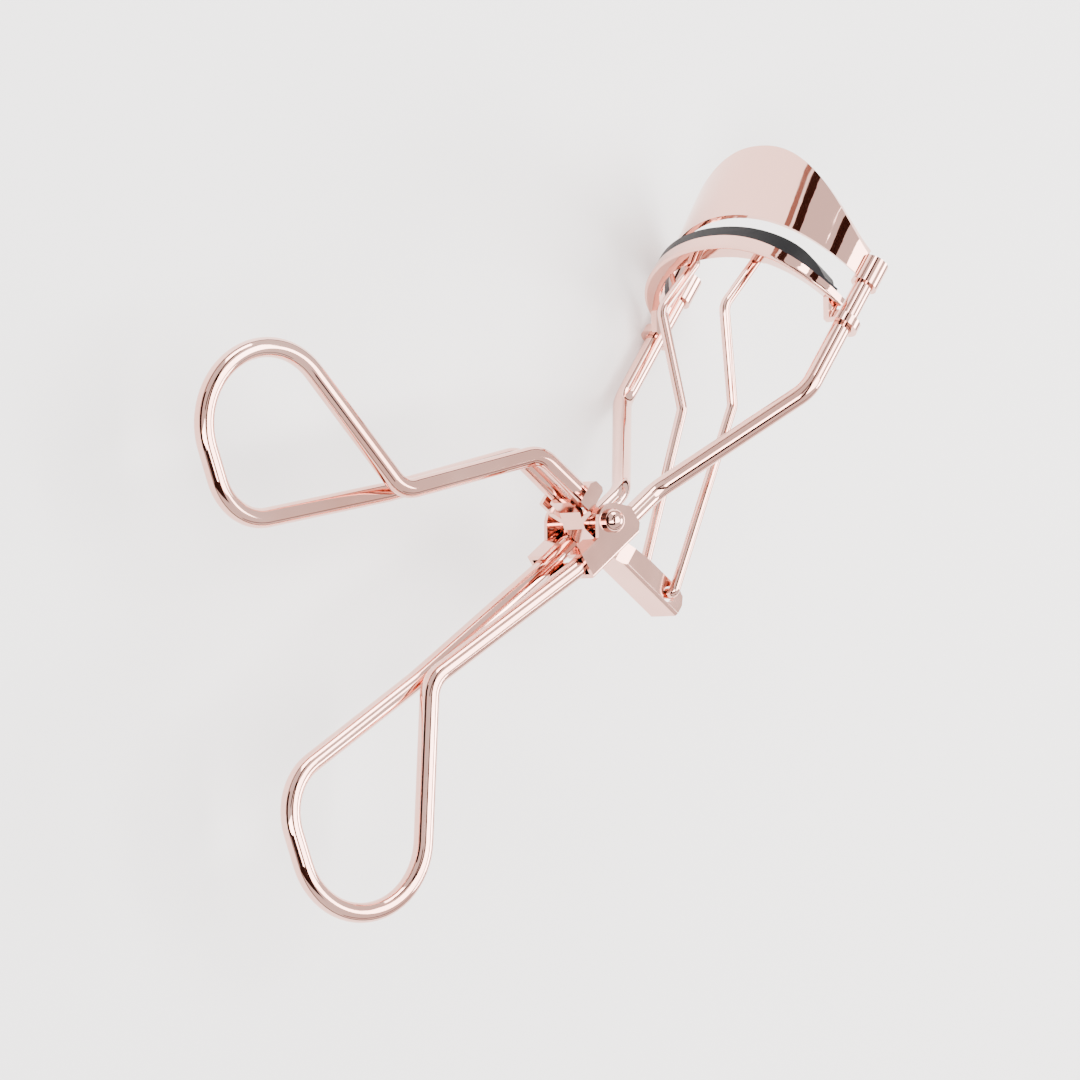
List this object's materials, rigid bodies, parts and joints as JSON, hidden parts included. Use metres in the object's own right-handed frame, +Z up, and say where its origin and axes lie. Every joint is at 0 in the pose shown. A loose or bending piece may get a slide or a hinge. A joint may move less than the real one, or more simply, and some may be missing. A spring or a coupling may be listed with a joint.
{
  "type": "eyelash curler",
  "caption": "Hand-held eyelash curler of bent plated wire, with finger loops, a curved clamping jaw and a soft black pad on a sliding lower jaw.",
  "frame": {"origin": "middle of the bottom of the whole object's box, with the curler lying on its side", "axes": "+X along the guide rails towards the jaws; +Y the side the jaws bulge to and the moving handle opens to; +Z up, along the hinge axis"},
  "size_m": [0.1088, 0.0682, 0.0352],
  "materials": {
    "plated_wire": "polished rose-gold plating",
    "plated_sheet": "polished rose-gold plating",
    "plated_rivet": "polished rose-gold plating",
    "silicone_pad": "matte black"
  },
  "bodies": {
    "frame": {"frame_wire": "plated_wire", "upper_jaw": "plated_sheet", "hinge_bracket": "plated_sheet", "hinge_rivet": "plated_rivet"},
    "handle": {"handle_wire": "plated_wire", "crank_lever": "plated_sheet"},
    "jaw": {"lower_jaw": "plated_sheet", "jaw_pad": "silicone_pad"},
    "rod_left": {"push_rod_left": "plated_wire"},
    "rod_right": {"push_rod_right": "plated_wire"}
  },
  "joints": [
    {"name": "handle_hinge", "type": "hinge", "parent": "frame", "child": "handle", "pos_m": [0.00283, -0.01833, 0.0176], "axis": [0, 0, 1], "range_deg": [-15, 6.4]},
    {"name": "jaw_slide", "type": "slide", "parent": "frame", "child": "jaw", "axis": [1, 0, 0], "range_m": [-0.00336, 0.00144]},
    {"name": "rod_left_tilt", "type": "hinge", "parent": "jaw", "child": "rod_left", "pos_m": [0.04093, -0.01843, 0.01125], "axis": [0, 0, 1], "range_deg": [-0.524, 0.235]},
    {"name": "rod_right_tilt", "type": "hinge", "parent": "jaw", "child": "rod_right", "pos_m": [0.04093, -0.01843, 0.02395], "axis": [0, 0, 1], "range_deg": [-0.524, 0.235]}
  ],
  "couplings": [
    {"joint": "jaw_slide", "follows": "handle_hinge", "m_per_rad": 0.012849},
    {"joint": "rod_left_tilt", "follows": "handle_hinge", "ratio": 0.03361},
    {"joint": "rod_right_tilt", "follows": "handle_hinge", "ratio": 0.03361}
  ]
}
